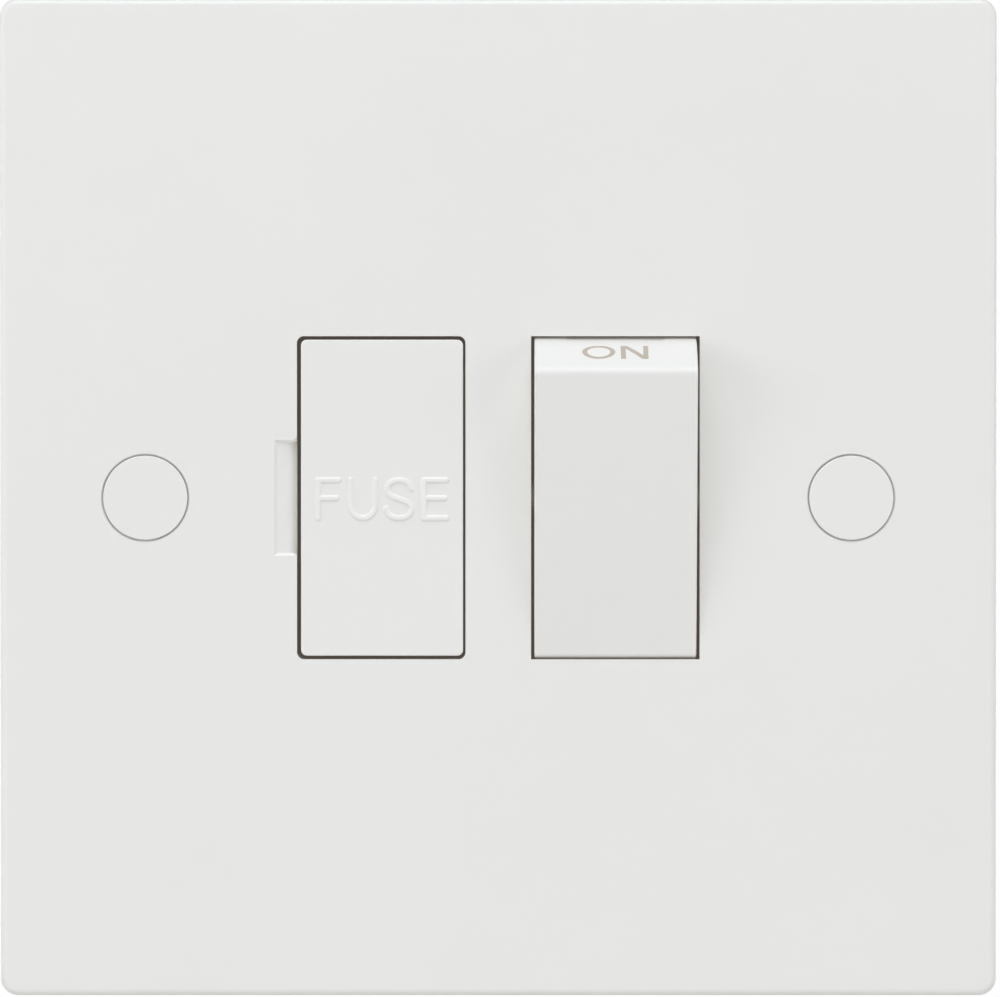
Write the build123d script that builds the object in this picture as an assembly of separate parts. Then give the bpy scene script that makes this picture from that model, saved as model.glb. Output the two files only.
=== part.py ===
"""Fused spur unit: a one gang wall plate with a rocker switch and a fuse carrier.

Millimetres. X runs to the right, Z runs up and Y runs into the wall. The origin is the middle of
the plate, on the wall plane that its rim rests on, so the plate stands at negative Y and the base
reaches into the wall box at positive Y. The rocker stands at ON and the fuse carrier is shut.
"""
from build123d import *
from math import cos, hypot, radians, sin, tan
import os

# Front plate
plate_width = 86.0
plate_height = 86.0
plate_depth = 8.5
plate_draft = 0.45
plate_corner = 1.65
plate_edge_round = 0.55
face_wall = 3.0
rim_wall = 2.3
plate_rib_wall = 1.0
plate_rib_height = 1.5
plate_rib_offset = 15.0

# Fixing holes and their caps
fixing_spacing = 60.3
fixing_hole_radius = 1.95
cap_recess_radius = 3.665
cap_recess_depth = 3.5
cap_ledge_radius = 3.78
cap_ledge_depth = 0.3
countersink_radius = 3.5
countersink_depth = 1.6
fixing_boss_wall = 0.8
cap_gap = 0.05
cap_thickness = 1.2
cap_skirt_radius = 3.3
cap_skirt_wall = 0.8
cap_skirt_length = 1.6
cap_slot_width = 1.0
cap_edge_break = 0.08

# Openings for the carrier and the rocker
opening_width = 14.4
opening_height = 27.6
opening_spacing = 5.6
opening_corner = 0.6
collar_wall = 1.2
collar_depth = 2.9
notch_width = 1.95
notch_height = 9.9
notch_bevel = 0.25
notch_floor = 0.45
notch_fall = 0.05
notch_depth = 1.1
notch_round = 0.5

# Rocker
pivot_behind_face = 3.7
rocker_side_gap = 0.28
rocker_end_gap = 0.27
rocker_rise = 6.35
rocker_skirt = 2.9
rocker_tilt = 12.0
rocker_wall = 1.4
rocker_crest_round = 0.7
rocker_foot_round = 0.35
rocker_edge_round = 0.15
trunnion_radius = 1.2
trunnion_gap = 0.05
trunnion_end_gap = 0.3
keeper_gap = 0.1
keeper_side_gap = 0.15
legend_recess_width = 8.35
legend_recess_depth = 0.05
legend_recess_top = 10.0

# Plungers and springs
plunger_radius = 1.4
plunger_gap = 0.1
plunger_tail = 1.0
plunger_tube_wall = 0.7
plunger_tube_end = 5.6
plunger_web = 1.0
tip_gap = 0.13
spring_seat = 4.4
spring_wire_radius = 0.175
spring_wire_sides = 6
spring_gap = 0.2
spring_turns = 5.0

# Contact bars
bar_pivot_y = 5.6
bar_thickness = 0.8
bar_half_length = 11.6
bar_tilt = 8.6
bar_vee_half = 2.6
bar_vee_angle = 15.0
bar_bend_radius = 0.9
bar_corner = 0.6
lug_height = 1.1
lug_length = 0.9
lug_gap = 0.07
contact_radius = 1.4
contact_height = 0.8
contact_offset = 9.9
contact_dome_radius = 4.0
contact_gap = 0.05

# Brass strip
strip_thickness = 0.8
strip_width = 3.4
strip_bend_radius = 0.5
busbar_y = 4.7
bar_side_gap = 0.2
ear_wall_gap = 0.7
ear_divider_gap = 0.5
ear_height_over_pivot = 1.0
ear_half_width = 1.9

# Fuse and its clips
fuse_length = 25.4
fuse_cap_radius = 3.175
fuse_cap_length = 6.0
fuse_cap_wall = 0.35
fuse_barrel_radius = 2.8
clip_thickness = 0.6
clip_gap = 0.125
clip_width = 4.6
clip_offset = 9.5
clip_corner = 3.0
clip_flare = 1.0
clip_flare_length = 1.6
clip_reach = 3.4

# Fuse carrier
carrier_side_gap = 0.28
carrier_face_shift = 0.07
carrier_end_gap = 0.3
carrier_face_thickness = 2.2
carrier_corner = 0.5
carrier_edge_round = 0.12
carrier_inset = 0.15
carrier_skirt_depth = 4.6
carrier_skirt_wall = 0.9
cheek_half_width = 4.0
cheek_wall = 0.6
cheek_reach = 2.0
saddle_half_width = 5.2
saddle_half_length = 6.0
saddle_reach = 2.4
saddle_gap = 0.05
saddle_mouth = 2.6
saddle_core_wall = 1.3

# Rear base
base_corner = 2.0
base_wall = 1.4
base_lip_gap = 0.2
floor_y = 9.3
floor_wall = 1.9
chamber_half_height = 14.5
chamber_wall = 1.4
fuse_chamber_gap = 0.2
divider_wall = 1.2
divider_front = 2.0
cross_wall = 1.5
pillar_gap = 0.6
pillar_side_gap = 0.2
pillar_offset_z = 9.0
pillar_radius = 2.1
pillar_end_y = 3.0
base_screw_radius = 1.35
base_screw_gap = 0.02
base_screw_clearance = 0.25
base_screw_length = 8.8
base_screw_head_radius = 2.4
base_screw_head_height = 1.7
base_screw_seat = 2.2
pilot_spare = 0.5
column_wall = 0.5
head_gap = 0.45
drive_slot_width = 0.8
drive_slot_depth = 0.9

# Terminals
terminal_pitch = 15.5
block_width = 8.4
block_length = 9.4
block_depth = 7.5
block_break = 0.4
block_side_gap = 0.1
block_end_gap = 0.6
block_rib_wall = 1.2
wire_bore_radius = 2.3
wire_bore_length = 8.2
wire_bore_behind_front = 3.2
wire_entry_gap = 0.4
terminal_floor_wall = 1.65
tower_length = 2.35
tower_wall = 1.2
tower_gap = 0.3
clamp_screw_radius = 1.7
clamp_screw_gap = 0.05
clamp_head_radius = 2.5
clamp_head_height = 1.8
clamp_travel = 3.4
clamp_tip_gap = 0.1
clamp_screw_offset = 4.2

# Places worked out from the sizes above
face_y = -plate_depth
inner_y = face_y + face_wall
collar_end_y = inner_y + collar_depth
lip_y = collar_end_y + base_lip_gap
opening_offset = (opening_width + opening_spacing) / 2
carrier_x = -opening_offset
rocker_x = opening_offset
pivot_y = face_y + pivot_behind_face
opening_sweep_radius = hypot(opening_height / 2, pivot_behind_face)
rocker_radius = opening_sweep_radius - rocker_end_gap
rocker_width = opening_width - 2 * rocker_side_gap
ear_reach = bar_side_gap + strip_thickness
bar_width = (opening_width - divider_wall) / 2 - ear_wall_gap - ear_divider_gap - 2 * ear_reach
pole_offset = opening_width / 2 - ear_wall_gap - ear_reach - bar_width / 2
live_x = rocker_x - pole_offset
neutral_x = rocker_x + pole_offset
strip_y = floor_y - strip_thickness
fuse_y = strip_y - clip_thickness - clip_gap - fuse_cap_radius
block_front_y = busbar_y + strip_thickness
block_back_y = block_front_y + block_depth
wire_y = block_front_y + wire_bore_behind_front
row_wall_z = chamber_half_height + cross_wall
block_inner_z = row_wall_z + block_end_gap
block_outer_z = block_inner_z + block_length
clamp_screw_z = block_outer_z - clamp_screw_offset
base_half_height = block_outer_z + block_end_gap + base_wall
pillar_offset_x = rocker_x + opening_width / 2 + chamber_wall + pillar_gap + pillar_radius
base_half_width = pillar_offset_x + pillar_radius + pillar_side_gap + base_wall
riser_z = chamber_half_height - strip_bend_radius
bar_front_apex = bar_thickness / 2 / cos(radians(bar_vee_angle))
plunger_length_to_tip = (
    bar_pivot_y - bar_front_apex - pivot_y
    - (plunger_radius + tip_gap) / cos(radians(bar_vee_angle)) + plunger_radius
)
column_seat_y = pillar_end_y + base_screw_seat


def front_slab(sketch, front, back):
    """Extrude an X, Z sketch along Y from front to back."""
    return extrude(Plane.XZ.offset(-back) * sketch, back - front)


def side_slab(sketch, left, right):
    """Extrude a Y, Z sketch along X from left to right."""
    return extrude(Plane.YZ.offset(left) * sketch, right - left)


def upright_slab(sketch, bottom, top):
    """Extrude an X, Y sketch along Z from bottom to top."""
    return extrude(Plane.XY.offset(bottom) * sketch, top - bottom)


def block(left, right, front, back, bottom, top):
    """A plain block between two values on each axis."""
    middle = Pos((left + right) / 2, (front + back) / 2, (bottom + top) / 2)
    return middle * Box(right - left, back - front, top - bottom)


def front_disc(x, z, radius, front, back):
    """A round bar along Y."""
    return front_slab(Pos(x, z) * Circle(radius), front, back)


def front_face_edges(solid):
    """The edges of the face that looks straight out of the wall."""
    return solid.faces().sort_by(Axis.Y)[0].edges()


def make_front_plate():
    """The square moulding, hollow behind, with its openings, bosses, collars and pillars."""
    rim = Plane.XZ * RectangleRounded(plate_width, plate_height, plate_corner)
    front = Plane.XZ.offset(plate_depth) * RectangleRounded(
        plate_width - 2 * plate_draft, plate_height - 2 * plate_draft, plate_corner - plate_edge_round / 4
    )
    plate = loft([rim, front], ruled=True)
    plate = fillet(front_face_edges(plate), plate_edge_round)
    hollow_width = plate_width - 2 * (plate_draft + rim_wall)
    hollow_height = plate_height - 2 * (plate_draft + rim_wall)
    plate -= front_slab(Rectangle(hollow_width, hollow_height), inner_y, 0)
    for side in (-1, 1):
        plate += make_plate_ribs(side, hollow_width, hollow_height)
        fixing_x = side * fixing_spacing / 2
        plate += front_disc(fixing_x, 0, cap_recess_radius + fixing_boss_wall, inner_y, 0)
        for height in (-pillar_offset_z, pillar_offset_z):
            plate += front_disc(side * pillar_offset_x, height, pillar_radius, inner_y, pillar_end_y)
            plate -= front_disc(
                side * pillar_offset_x, height, base_screw_radius + base_screw_gap,
                column_seat_y - base_screw_length - pilot_spare, pillar_end_y
            )
    for x in (carrier_x, rocker_x):
        collar = Rectangle(opening_width + 2 * collar_wall, opening_height + 2 * collar_wall)
        plate += front_slab(Pos(x, 0) * collar, inner_y, collar_end_y)
    for side in (-1, 1):
        plate -= make_fixing_hole(side * fixing_spacing / 2)
    carrier_opening = RectangleRounded(opening_width, opening_height, opening_corner)
    plate -= front_slab(Pos(carrier_x, 0) * carrier_opening, face_y, collar_end_y)
    plate -= make_rocker_opening()
    return plate - make_finger_notch()


def make_plate_ribs(side, hollow_width, hollow_height):
    """The low stiffening ribs between the base and the rim, on one side of the plate."""
    rib_end_y = inner_y + plate_rib_height
    ribs = []
    for offset in (-plate_rib_offset, plate_rib_offset):
        inner_x, outer_x = sorted((side * base_half_width, side * hollow_width / 2))
        inner_z, outer_z = sorted((side * base_half_height, side * hollow_height / 2))
        near, far = offset - plate_rib_wall / 2, offset + plate_rib_wall / 2
        ribs.append(block(inner_x, outer_x, inner_y, rib_end_y, near, far))
        ribs.append(block(near, far, inner_y, rib_end_y, inner_z, outer_z))
    return ribs


def make_fixing_hole(x):
    """Recess for a cap with a ledge round it, then a countersink and its clearance hole."""
    recess_floor = face_y + cap_recess_depth
    hole = front_disc(x, 0, cap_recess_radius, face_y, recess_floor)
    hole += front_disc(x, 0, cap_ledge_radius, face_y, face_y + cap_ledge_depth)
    cone_middle = recess_floor + countersink_depth / 2
    cone = Cone(countersink_radius, fixing_hole_radius, countersink_depth)
    hole += Pos(x, cone_middle, 0) * Rot(-90, 0, 0) * cone
    return hole + front_disc(x, 0, fixing_hole_radius, recess_floor, 0)


def make_rocker_opening():
    """Opening with end walls swept about the pivot, and the half round seats of the trunnions."""
    half_width = opening_width / 2
    sweep = Pos(pivot_y, 0) * Circle(opening_sweep_radius)
    opening = side_slab(sweep, rocker_x - half_width, rocker_x + half_width)
    seat_radius = trunnion_radius + trunnion_gap
    seat_length = collar_end_y - pivot_y
    slot = Pos(pivot_y + seat_length / 2, 0) * Rectangle(seat_length, 2 * seat_radius)
    seat = Pos(pivot_y, 0) * Circle(seat_radius) + slot
    reach = half_width + collar_wall
    return opening + side_slab(seat, rocker_x - reach, rocker_x + reach)


def make_finger_notch():
    """The notch beside the carrier, which rolls down to it and lets a blade in to draw it out."""
    edge = carrier_x - opening_width / 2
    start = edge - notch_width
    inside = edge + opening_width / 4
    flare = edge - notch_round
    reach = notch_height / 2 + notch_round
    plan = Pos((start + inside) / 2, 0) * Rectangle(inside - start, notch_height)
    plan += Pos((flare + inside) / 2, 0) * Rectangle(inside - flare, 2 * reach)
    for end in (-reach, reach):
        plan -= Pos(flare, end) * Circle(notch_round)
    bevel = extrude(Plane.XZ.offset(plate_depth) * plan, -notch_bevel, taper=45)
    floor_start = (start + notch_bevel, face_y + notch_bevel)
    crest = (floor_start[0] + notch_floor, floor_start[1] + notch_fall)
    deep = (edge, face_y + notch_depth)
    outline = [
        Line(floor_start, crest),
        TangentArc(crest, deep, tangent=(notch_floor, notch_fall)),
        Line(deep, (inside, deep[1])),
        Line((inside, deep[1]), (inside, floor_start[1])),
        Line((inside, floor_start[1]), floor_start),
    ]
    well = extrude(bevel.faces().sort_by(Axis.Y)[-1], notch_depth, dir=(0, 1, 0))
    return bevel + (upright_slab(make_face(outline), -reach, reach) & well)


def make_screw_cap(x):
    """Round cover flush with the face, with a split skirt behind it."""
    cap_back = face_y + cap_thickness
    cap = front_disc(x, 0, cap_recess_radius - cap_gap, face_y, cap_back)
    cap = chamfer(front_face_edges(cap), cap_edge_break)
    skirt_end = cap_back + cap_skirt_length
    skirt = front_disc(x, 0, cap_skirt_radius, cap_back, skirt_end)
    skirt -= front_disc(x, 0, cap_skirt_radius - cap_skirt_wall, cap_back, skirt_end)
    slot = Rectangle(cap_slot_width, 2 * cap_skirt_radius)
    return cap + (skirt - front_slab(Pos(x, 0) * slot, cap_back, skirt_end))


def rocker_place():
    """Carries a piece drawn about the pivot, with the rocker level, to its place at ON."""
    return Pos(rocker_x, pivot_y, 0) * Rot(rocker_tilt, 0, 0)


def rocker_section(wall, skirt):
    """Section between two chords of the swept circle, set in from its outside by a wall."""
    front = wall - rocker_rise
    band = Pos((front + skirt) / 2, 0) * Rectangle(skirt - front, 2 * rocker_radius)
    return Circle(rocker_radius - wall) & band


def make_rocker():
    """Hollow rocker with round ends about its pivot, trunnions and two plunger tubes."""
    half = rocker_width / 2
    section = rocker_section(0, rocker_skirt)
    foot, crest = section.vertices().group_by(Axis.X)[0].sort_by(Axis.Y)
    section = fillet(crest, rocker_crest_round)
    foot = section.vertices().group_by(Axis.X)[0].sort_by(Axis.Y)[0]
    section = fillet(foot, rocker_foot_round)
    shell = side_slab(section, -half, half)
    for side in (0, -1):
        rim = shell.faces().sort_by(Axis.X)[side].edges().sort_by(Axis.Y)[:-1]
        shell = fillet(rim, rocker_edge_round)
    inner_half = half - rocker_wall
    shell -= side_slab(rocker_section(rocker_wall, rocker_radius), -inner_half, inner_half)
    trunnion_half = opening_width / 2 + collar_wall - trunnion_end_gap
    trunnion = side_slab(Circle(trunnion_radius), -trunnion_half, trunnion_half)
    shell += trunnion - side_slab(Circle(2 * trunnion_radius), -inner_half, inner_half)
    bore_radius = plunger_radius + plunger_gap
    roof = rocker_wall / 2 - rocker_rise
    web = block(-pole_offset, pole_offset, roof, trunnion_radius, -plunger_web / 2, plunger_web / 2)
    shell += web
    for pole in (-pole_offset, pole_offset):
        shell += front_disc(pole, 0, bore_radius + plunger_tube_wall, roof, plunger_tube_end)
    for pole in (-pole_offset, pole_offset):
        shell -= front_disc(pole, 0, bore_radius, -spring_seat, plunger_tube_end)
    return rocker_place() * (shell - make_legend_recesses())


def make_legend_recesses():
    """Shallow bands in both round ends, just behind where the legend is printed."""
    ring = Circle(2 * rocker_radius) - Circle(rocker_radius - legend_recess_depth)
    front = -rocker_radius * sin(radians(legend_recess_top))
    band = Pos((front + rocker_skirt) / 2, 0) * Rectangle(rocker_skirt - front, 4 * rocker_radius)
    return side_slab(ring & band, -legend_recess_width / 2, legend_recess_width / 2)


def make_plunger(pole):
    """Round plunger with a domed tip, sliding in its tube of the rocker."""
    shoulder = plunger_length_to_tip - plunger_radius
    body = front_disc(pole, 0, plunger_radius, plunger_tail, shoulder)
    body += Pos(pole, shoulder, 0) * Sphere(plunger_radius)
    return rocker_place() * body


def make_spring(pole):
    """Coil spring between the bottom of the tube and the plunger."""
    radius = plunger_radius + plunger_gap - spring_gap - spring_wire_radius
    length = spring_seat + plunger_tail - 2 * spring_wire_radius
    coil = Helix(length / spring_turns, length, radius)
    section = RegularPolygon(spring_wire_radius, spring_wire_sides)
    wire = sweep(Plane(coil @ 0, z_dir=coil % 0) * section, coil)
    start = Pos(pole, spring_wire_radius - spring_seat, 0) * Rot(-90, 0, 0)
    return rocker_place() * start * wire


def bar_place(x):
    """Carries a piece drawn about a bar's pivot, with the bar level, to its place at ON."""
    return Pos(x, bar_pivot_y, 0) * Rot(-bar_tilt, 0, 0)


def bar_arm_level():
    """How far the arms stand in front of the pivot, either side of the vee."""
    return -bar_vee_half * tan(radians(bar_vee_angle))


def make_contact_bar(x):
    """See-saw bar with a vee for the plunger and a lug each side to rock on."""
    level = bar_arm_level()
    line = FilletPolyline(
        (level, -bar_half_length), (level, -bar_vee_half), (0, 0), (level, bar_vee_half),
        (level, bar_half_length), radius=bar_bend_radius
    )
    bar = side_slab(trace(line, bar_thickness), -bar_width / 2, bar_width / 2)
    bar = fillet(bar.edges().filter_by(Axis.Y).group_by(Axis.Z)[0], bar_corner)
    bar = fillet(bar.edges().filter_by(Axis.Y).group_by(Axis.Z)[-1], bar_corner)
    half_lug = bar_width / 2 + lug_length
    return bar_place(x) * (bar + side_slab(Rectangle(bar_thickness, lug_height), -half_lug, half_lug))


def make_moving_contact(x):
    """Silver button on the back of a bar's upper arm."""
    back = bar_arm_level() + bar_thickness / 2
    return bar_place(x) * front_disc(0, contact_offset, contact_radius, back, back + contact_height)


def fixed_contact_height():
    """Z of a fixed contact's middle, square to the moving contact's face at ON."""
    face = bar_arm_level() + bar_thickness / 2 + contact_height
    tilt = radians(bar_tilt)
    touch = contact_offset * cos(tilt) - face * sin(tilt)
    return touch - contact_dome_radius * sin(tilt)


def make_fixed_contact(x):
    """Domed silver button on a fixed strip, just clear of the moving contact at ON."""
    face = bar_arm_level() + bar_thickness / 2 + contact_height
    tilt = radians(bar_tilt)
    touch_y = bar_pivot_y + face * cos(tilt) + contact_offset * sin(tilt)
    dome_y = touch_y + (contact_dome_radius + contact_gap) * cos(tilt)
    height = fixed_contact_height()
    dome = Pos(x, dome_y, height) * Sphere(contact_dome_radius)
    return dome & front_disc(x, height, contact_radius, dome_y - contact_dome_radius, strip_y)


def make_riser(x, start, end, side):
    """Strip that runs along the floor, steps up before the cross wall and lies on a terminal."""
    low = strip_y + strip_thickness / 2
    high = busbar_y + strip_thickness / 2
    line = FilletPolyline(
        (low, side * start), (low, side * riser_z), (high, side * riser_z),
        (high, side * end), radius=strip_bend_radius
    )
    return side_slab(trace(line, strip_thickness), x - strip_width / 2, x + strip_width / 2)


def make_tag(x_from, x_to, side):
    """Flat end of a strip, which reaches sideways over a terminal block."""
    left = min(x_from, x_to) - strip_width / 2
    right = max(x_from, x_to) + strip_width / 2
    bottom, top = sorted((side * block_inner_z, side * (block_inner_z + strip_width)))
    return block(left, right, busbar_y, block_front_y, bottom, top)


def make_pivot_bracket(x, terminal_x):
    """Foot and two eared sides that carry a contact bar, with a strap to a supply terminal."""
    inner = bar_width / 2 + bar_side_gap
    outer = inner + strip_thickness
    ear_front = bar_pivot_y - ear_height_over_pivot
    ear = Pos((ear_front + floor_y) / 2, 0) * Rectangle(floor_y - ear_front, 2 * ear_half_width)
    notch_radius = hypot(bar_thickness, lug_height) / 2 + lug_gap
    notch = Pos(bar_pivot_y, 0) * Circle(notch_radius)
    notch_length = bar_pivot_y - ear_front
    notch += Pos(bar_pivot_y - notch_length / 2, 0) * Rectangle(notch_length, 2 * notch_radius)
    ears = side_slab(ear - notch, x - outer, x + outer)
    ears -= block(x - inner, x + inner, ear_front, strip_y, -ear_half_width, ear_half_width)
    strap = make_riser(x, -ear_half_width, block_inner_z + strip_width, -1)
    return ears + strap + make_tag(x, terminal_x, -1)


def make_live_contact_strip():
    """Flat strip from under the live contact to the upper fuse clip."""
    middle = fixed_contact_height()
    return block(
        carrier_x - clip_corner, live_x + strip_width / 2, strip_y, floor_y,
        middle - strip_width / 2, middle + strip_width / 2
    )


def make_neutral_contact_strip():
    """Strip from under the neutral contact to the load neutral terminal."""
    start = fixed_contact_height() - strip_width / 2
    strap = make_riser(neutral_x, start, block_inner_z + strip_width, 1)
    return strap + make_tag(neutral_x, terminal_pitch, 1)


def make_load_live_strip():
    """Strip from the lower fuse clip to the load live terminal."""
    strap = make_riser(carrier_x, clip_offset - clip_width / 2, block_inner_z + strip_width, -1)
    return strap + make_tag(carrier_x, -terminal_pitch, -1)


def make_earth_bridge():
    """Flat strap that joins the two earth terminals."""
    return make_tag(-terminal_pitch, 0, 1)


def make_fuse_clip(height):
    """Folded spring clip, open to the front, that holds an end cap of the fuse."""
    side = fuse_cap_radius + clip_gap + clip_thickness / 2
    foot = strip_y - clip_thickness / 2
    mouth = fuse_y - clip_reach
    flared = side + clip_flare
    tip = mouth - clip_flare_length
    line = FilletPolyline(
        (-flared, tip), (-side, mouth), (-side, foot), (side, foot), (side, mouth), (flared, tip),
        radius=[clip_thickness, clip_corner, clip_corner, clip_thickness]
    )
    spring = upright_slab(trace(line, clip_thickness), height - clip_width / 2, height + clip_width / 2)
    return Pos(carrier_x, 0, 0) * spring


def make_fuse_barrel():
    """Ceramic tube of the fuse, inside its end caps."""
    half = fuse_length / 2 - fuse_cap_wall
    return upright_slab(Pos(carrier_x, fuse_y) * Circle(fuse_barrel_radius), -half, half)


def make_fuse_cap(side):
    """Drawn metal cap over one end of the fuse."""
    inner, outer = side * (fuse_length / 2 - fuse_cap_length), side * fuse_length / 2
    bottom, top = sorted((inner, outer))
    cap = upright_slab(Pos(carrier_x, fuse_y) * Circle(fuse_cap_radius), bottom, top)
    end_face = max(cap.faces(), key=lambda face: side * face.center().Z)
    cap = chamfer(end_face.edges(), fuse_cap_wall)
    return cap - make_fuse_barrel()


def make_fuse_carrier():
    """Flush drawer with a skirt behind its face, end cheeks and a saddle that grips the fuse."""
    width = opening_width - 2 * carrier_side_gap
    height = opening_height - 2 * carrier_end_gap
    face_back = face_y + carrier_face_thickness
    body_width, body_height = width - 2 * carrier_inset, height - 2 * carrier_inset
    carrier = front_slab(RectangleRounded(width, height, carrier_corner), face_y, face_back)
    carrier = fillet(front_face_edges(carrier), carrier_edge_round)
    skirt_end = face_back + carrier_skirt_depth
    skirt = Rectangle(body_width, body_height)
    skirt -= Rectangle(body_width - 2 * carrier_skirt_wall, body_height - 2 * cheek_wall)
    carrier = Pos(carrier_face_shift, 0, 0) * (carrier + front_slab(skirt, face_back, skirt_end))
    cheek_end = fuse_y + cheek_reach
    for end in (-1, 1):
        bottom, top = sorted((end * (body_height / 2 - cheek_wall), end * body_height / 2))
        carrier += block(-cheek_half_width, cheek_half_width, face_back, cheek_end, bottom, top)
    return Pos(carrier_x, 0, 0) * (carrier + make_saddle(face_back))


def make_saddle(face_back):
    """Cored block between the clips, with a round seat that the fuse snaps into from behind."""
    saddle_end = fuse_y + saddle_reach
    half = saddle_half_length
    saddle = front_slab(Rectangle(2 * saddle_half_width, 2 * half), face_back, saddle_end)
    seat_radius = fuse_barrel_radius + saddle_gap
    saddle -= upright_slab(Pos(0, fuse_y) * Circle(seat_radius), -half, half)
    saddle -= block(-saddle_mouth, saddle_mouth, fuse_y, saddle_end, -half, half)
    core_half = saddle_half_width - saddle_core_wall
    core_end = fuse_y - seat_radius - saddle_core_wall
    return saddle - block(-core_half, core_half, face_back, core_end, -half, half)


def make_rear_base():
    """Deep insulating base with a switch chamber, a fuse chamber and two rows of terminals."""
    row_back = block_back_y + terminal_floor_wall
    floor_back = floor_y + floor_wall
    outline = Polygon(
        (inner_y, -base_half_height), (row_back, -base_half_height), (row_back, -chamber_half_height),
        (floor_back, -chamber_half_height), (floor_back, chamber_half_height),
        (row_back, chamber_half_height), (row_back, base_half_height), (inner_y, base_half_height),
        align=None
    )
    base = side_slab(outline, -base_half_width, base_half_width)
    base = fillet(outer_corners(base), base_corner)
    inner_half_width = base_half_width - base_wall
    inner_half_height = base_half_height - base_wall
    lip = Rectangle(2 * inner_half_width, 2 * inner_half_height)
    base -= front_slab(lip, inner_y, lip_y)
    base -= make_chambers(inner_half_width)
    for side in (-1, 1):
        near, far = sorted((side * row_wall_z, side * inner_half_height))
        base -= block(-inner_half_width, inner_half_width, lip_y, block_back_y, near, far)
        for x in (-terminal_pitch, 0, terminal_pitch):
            base += make_block_seat(x, near, far)
            base += front_disc(x, side * clamp_screw_z, tower_radius(), row_back, row_back + tower_length)
        for x in (-terminal_pitch, 0, terminal_pitch):
            base -= make_terminal_ways(x, side, row_back)
    base += make_switch_chamber_walls()
    base -= make_strip_ways()
    for x in (-pillar_offset_x, pillar_offset_x):
        for z in (-pillar_offset_z, pillar_offset_z):
            base += front_disc(x, z, column_radius(), pillar_end_y, floor_back)
            base -= front_disc(x, z, base_screw_radius + base_screw_clearance, pillar_end_y, floor_back)
            base -= front_disc(x, z, base_screw_head_radius + head_gap, column_seat_y, floor_back)
    return base


def outer_corners(base):
    """The four upright corners of the base that run into the wall box."""
    edges = base.edges().filter_by(Axis.Y)
    return [e for e in edges if abs(abs(e.center().Z) - base_half_height) < base_wall]


def tower_radius():
    """Outside of the round tower about a terminal screw."""
    return clamp_head_radius + tower_gap + tower_wall


def column_radius():
    """Outside of the column that a base screw passes through."""
    return base_screw_head_radius + head_gap + column_wall


def make_chambers(inner_half_width):
    """What is hollow between the cross walls: the fuse way, the switch way and the sides."""
    half = chamber_half_height
    fuse_left = carrier_x - opening_width / 2 - fuse_chamber_gap
    fuse_right = carrier_x + opening_width / 2 + fuse_chamber_gap
    switch_left, switch_right = rocker_x - opening_width / 2, rocker_x + opening_width / 2
    spans = [
        (-inner_half_width, fuse_left - chamber_wall),
        (fuse_left, fuse_right),
        (fuse_right + chamber_wall, switch_left - chamber_wall),
        (switch_left, switch_right),
        (switch_right + chamber_wall, inner_half_width),
    ]
    return [block(left, right, lip_y, floor_y, -half, half) for left, right in spans]


def make_block_seat(x, near, far):
    """The pair of ribs that holds a terminal block."""
    inner = block_width / 2 + block_side_gap
    outer = inner + block_rib_wall
    front = block_front_y + block_side_gap
    left = block(x - outer, x - inner, front, block_back_y, near, far)
    return [left, block(x + inner, x + outer, front, block_back_y, near, far)]


def make_terminal_ways(x, side, row_back):
    """Wire entry through the end wall and the well of a terminal screw."""
    near, far = sorted((side * block_outer_z, side * base_half_height))
    entry = Pos(x, wire_y) * Circle(wire_bore_radius + wire_entry_gap)
    well_radius = clamp_head_radius + tower_gap
    well = front_disc(x, side * clamp_screw_z, well_radius, block_back_y, row_back + tower_length)
    return [upright_slab(entry, near, far), well]


def make_switch_chamber_walls():
    """Barrier between the poles, and the tips that keep the trunnions in their seats."""
    half = chamber_half_height
    barrier = divider_wall / 2
    walls = [block(rocker_x - barrier, rocker_x + barrier, divider_front, floor_y, -half, half)]
    tip_half = trunnion_radius + trunnion_gap - keeper_side_gap
    tip_front = pivot_y + trunnion_radius + keeper_gap
    edge = opening_width / 2
    for side in (-1, 1):
        left, right = sorted((rocker_x + side * edge, rocker_x + side * (edge + collar_wall)))
        walls.append(block(left, right, tip_front, lip_y, -tip_half, tip_half))
    return walls


def make_strip_ways():
    """Slots in the inner walls that the strips are laid into from the front."""
    room = strip_width / 2 + block_side_gap
    ways = []
    for x, side in ((carrier_x, -1), (live_x, -1), (neutral_x, -1), (neutral_x, 1)):
        near, far = sorted((side * chamber_half_height, side * row_wall_z))
        ways.append(block(x - room, x + room, lip_y, block_front_y, near, far))
    left = carrier_x + opening_width / 2
    right = rocker_x - opening_width / 2
    middle = fixed_contact_height()
    ways.append(block(left, right, lip_y, floor_y, middle - room, middle + room))
    return ways


def make_base_screws():
    """Four self tapping screws, from behind the base into the pillars of the plate."""
    screws = []
    for x in (-pillar_offset_x, pillar_offset_x):
        for z in (-pillar_offset_z, pillar_offset_z):
            screw = front_disc(x, z, base_screw_radius, column_seat_y - base_screw_length, column_seat_y)
            head_end = column_seat_y + base_screw_head_height
            screw += front_disc(x, z, base_screw_head_radius, column_seat_y, head_end)
            screws.append(screw - make_drive_slot(x, z, head_end, base_screw_head_radius))
    return Compound(children=screws)


def make_drive_slot(x, z, end_y, radius):
    """Straight slot across the head of a screw."""
    slot = Rectangle(2 * radius, drive_slot_width)
    return front_slab(Pos(x, z) * slot, end_y - drive_slot_depth, end_y)


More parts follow.
